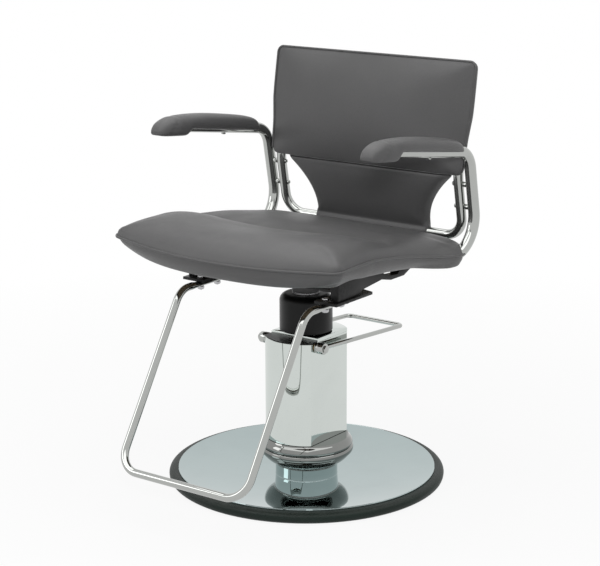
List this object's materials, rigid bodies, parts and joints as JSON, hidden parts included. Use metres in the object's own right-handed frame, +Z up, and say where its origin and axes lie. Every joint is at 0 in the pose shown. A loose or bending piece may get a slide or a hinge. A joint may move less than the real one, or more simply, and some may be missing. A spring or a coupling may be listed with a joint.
{
  "type": "hairdressing chair",
  "caption": "Styling chair with grey upholstered seat, back and arm pads on bent chrome tubes, a chrome footrest and a pedal-pumped hydraulic column on a round base.",
  "frame": {"origin": "on the floor, on the column's axis", "axes": "+Z up, the sitter faces -Y, X runs from arm to arm"},
  "size_m": [0.61, 0.7484, 0.9133],
  "materials": {
    "chrome": "polished chrome plate",
    "mirror_plate": "mirror chrome plate",
    "polished_aluminium": "polished, fine vertical grain",
    "steel": "machined, bare",
    "cast": "as cast",
    "black_steel": "black paint, satin",
    "black_plastic": "black, satin",
    "rubber": "black, satin",
    "bronze": "bearing bronze, machined",
    "vinyl": "grey upholstery vinyl, soft sheen",
    "plywood": "plain plywood"
  },
  "bodies": {
    "base": {"base_plate": "mirror_plate", "base_ring": "rubber", "pedestal_bowl": "mirror_plate", "column_cover": "polished_aluminium", "column_cap": "polished_aluminium", "shaft_cover": "black_plastic", "pedal_bush_left": "bronze", "pedal_bush_right": "bronze", "pump_body": "cast", "pump_cylinder": "steel", "guide_bush": "bronze", "wiper_seal": "rubber", "valve_block": "cast", "pump_barrel": "steel", "plunger_guide": "cast", "plunger_spring": "steel"},
    "pedal": {"pedal_shaft": "steel", "pedal_hub_left": "chrome", "pedal_hub_right": "chrome", "hub_screw_left": "chrome", "hub_screw_right": "chrome", "pedal_loop": "chrome", "rocker_arm": "cast"},
    "plunger": {"pump_plunger": "steel"},
    "ram": {"ram_rod": "chrome", "piston": "steel", "piston_seal": "rubber", "ram_shroud": "black_plastic", "thrust_bearing": "bronze"},
    "seat": {"arm_tube_left": "chrome", "arm_tube_right": "chrome", "arm_pad_screw_left": "chrome", "arm_pad_screw_right": "chrome", "back_tube": "chrome", "back_screw_upper_left": "chrome", "back_screw_upper_right": "chrome", "back_screw_lower_left": "chrome", "back_screw_lower_right": "chrome", "footrest": "chrome", "swivel_hub": "steel", "arm_frame_bolt_left": "steel", "arm_frame_bolt_right": "steel", "footrest_bolt_front_left": "steel", "footrest_bolt_front_right": "steel", "footrest_bolt_rear_left": "steel", "footrest_bolt_rear_right": "steel", "seat_plate": "black_steel", "seat_rail_left": "black_steel", "seat_rail_right": "black_steel", "rail_bolt_front_left": "black_steel", "rail_bolt_front_right": "black_steel", "rail_bolt_rear_left": "black_steel", "rail_bolt_rear_right": "black_steel", "seat_cushion": "vinyl", "arm_pad_left": "vinyl", "arm_pad_right": "vinyl", "back_pad": "vinyl", "back_board": "vinyl", "lower_back_panel": "vinyl", "seat_board": "plywood"}
  },
  "joints": [
    {"name": "lift", "type": "slide", "parent": "base", "child": "ram", "axis": [0, 0, 1], "range_m": [0, 0.15]},
    {"name": "swivel", "type": "hinge", "parent": "ram", "child": "seat", "pos_m": [0, 0, 0.4376], "axis": [0, 0, 1], "continuous": true},
    {"name": "pedal", "type": "hinge", "parent": "base", "child": "pedal", "pos_m": [0, -0.048, 0.315], "axis": [1, 0, 0], "range_deg": [-14, 0], "stiffness_Nm_per_rad": 4, "springref_deg": 34.38},
    {"name": "plunger", "type": "slide", "parent": "base", "child": "plunger", "axis": [0, 0, 1], "range_m": [0, 0.005], "deforming": ["plunger_spring"]}
  ],
  "couplings": [
    {"joint": "plunger", "follows": "pedal", "m_per_rad": -0.0203}
  ]
}
